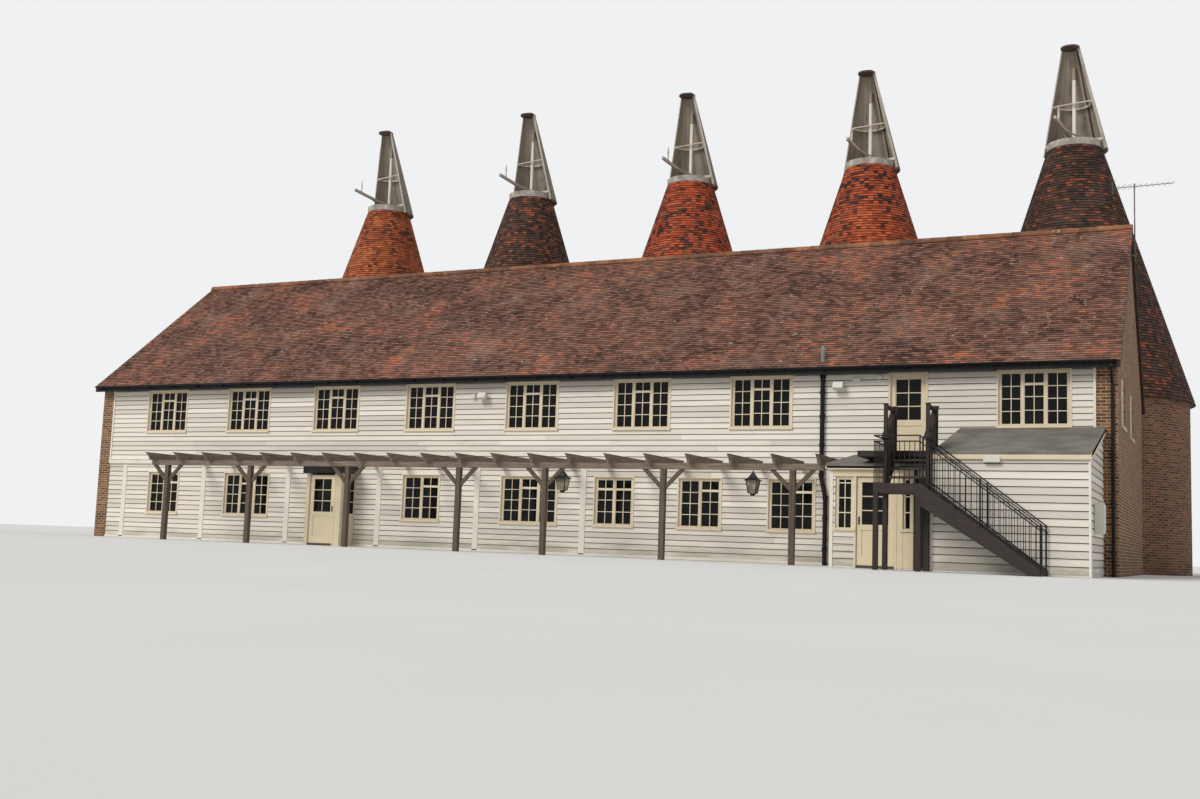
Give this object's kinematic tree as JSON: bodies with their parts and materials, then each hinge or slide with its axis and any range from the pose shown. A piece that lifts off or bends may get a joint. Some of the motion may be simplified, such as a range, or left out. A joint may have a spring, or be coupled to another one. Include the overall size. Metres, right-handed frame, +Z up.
{
  "type": "oast house",
  "caption": "Long weatherboarded hop store with a tiled roof, round brick kilns behind under tiled cones with turning cowls, outside stair, porches, lean-to and pergola.",
  "frame": {"origin": "on level ground, below the middle of the store's ridge", "axes": "+X along the store towards its right-hand gable, +Y from the front to the kilns, +Z up"},
  "size_m": [33.9596, 20.5598, 17.1],
  "materials": {
    "brick": "weathered red-brown brick in lime mortar",
    "kiln_brick": "weathered brown stock brick in lime mortar",
    "weatherboard": "feather-edged boards in warm white paint",
    "roof_tiles": "plain clay tiles, brown-red with pale lichen",
    "kiln_tiles": "plain clay tiles, orange-red to dark brown",
    "ridge_tiles": "half-round clay ridge tiles with orange lichen",
    "cowl_boards": "weathered vertical boards",
    "dark_timber": "dark stained timber",
    "pergola_timber": "dark stained timber",
    "floor_boards": "plain floor boards",
    "floor_slab": "plain concrete",
    "cream_paint": "cream gloss paint on timber",
    "black_paint": "black paint on timber",
    "black_iron": "black paint",
    "roof_felt": "mineral felt, mid grey",
    "window_glass": "clear window glass before a dark room"
  },
  "bodies": {
    "building": {"cowl_curbs": "dark_timber", "door_lintels": "weatherboard", "footstep_beams": "dark_timber", "front_wall_lower": "weatherboard", "front_wall_upper": "weatherboard", "gable_walls": "brick", "ground_floor": "floor_slab", "gutters": "black_iron", "kiln_roof_1": "kiln_tiles", "kiln_roof_2": "kiln_tiles", "kiln_roof_3": "kiln_tiles", "kiln_roof_4": "kiln_tiles", "kiln_roof_5": "kiln_tiles", "kiln_walls": "kiln_brick", "leanto_front_wall": "weatherboard", "leanto_roof": "roof_felt", "leanto_side_walls": "weatherboard", "left_porch_roof": "black_paint", "lower_window_frames": "cream_paint", "lower_window_glass": "window_glass", "pergola_beam": "pergola_timber", "pergola_posts": "pergola_timber", "pergola_rafters": "pergola_timber", "porch_fronts": "weatherboard", "porch_roof": "roof_felt", "porch_sides": "weatherboard", "rear_wall": "brick", "ridge_tiles": "ridge_tiles", "roof_front": "roof_tiles", "roof_rear": "roof_tiles", "soil_pipe": "black_iron", "stair_guards": "dark_timber", "stair_landings": "dark_timber", "stair_posts": "dark_timber", "stair_railings": "black_iron", "stair_stringers": "dark_timber", "stair_treads": "dark_timber", "thresholds": "dark_timber", "upper_door": "cream_paint", "upper_floor": "floor_boards", "upper_window_frames": "cream_paint", "upper_window_glass": "window_glass"},
    "porch_door_leaf": {"porch_door": "cream_paint"},
    "store_door_leaf": {"store_door": "black_paint"},
    "left_porch_door_leaf": {"left_porch_door": "cream_paint"},
    "cowl_1_head": {"cowl_1": "cowl_boards"},
    "cowl_2_head": {"cowl_2": "cowl_boards"},
    "cowl_3_head": {"cowl_3": "cowl_boards"},
    "cowl_4_head": {"cowl_4": "cowl_boards"},
    "cowl_5_head": {"cowl_5": "cowl_boards"}
  },
  "joints": [
    {"name": "porch_door_hinge", "type": "hinge", "parent": "building", "child": "porch_door_leaf", "pos_m": [11.012, -7.146, 1], "axis": [0, 0, -1], "range_deg": [0, 90]},
    {"name": "store_door_hinge", "type": "hinge", "parent": "building", "child": "store_door_leaf", "pos_m": [11.538, -7.146, 1], "axis": [0, 0, 1], "range_deg": [0, 90]},
    {"name": "left_porch_door_hinge", "type": "hinge", "parent": "building", "child": "left_porch_door_leaf", "pos_m": [-6.372, -5.396, 1], "axis": [0, 0, 1], "range_deg": [0, 90]},
    {"name": "cowl_1_turn", "type": "hinge", "parent": "building", "child": "cowl_1_head", "pos_m": [-13.6, 7.84, 14], "axis": [0, 0, 1], "continuous": true},
    {"name": "cowl_2_turn", "type": "hinge", "parent": "building", "child": "cowl_2_head", "pos_m": [-6.85, 7.84, 14], "axis": [0, 0, 1], "continuous": true},
    {"name": "cowl_3_turn", "type": "hinge", "parent": "building", "child": "cowl_3_head", "pos_m": [-0.1, 7.84, 14], "axis": [0, 0, 1], "continuous": true},
    {"name": "cowl_4_turn", "type": "hinge", "parent": "building", "child": "cowl_4_head", "pos_m": [6.65, 7.84, 14], "axis": [0, 0, 1], "continuous": true},
    {"name": "cowl_5_turn", "type": "hinge", "parent": "building", "child": "cowl_5_head", "pos_m": [13.4, 7.84, 14], "axis": [0, 0, 1], "continuous": true}
  ]
}
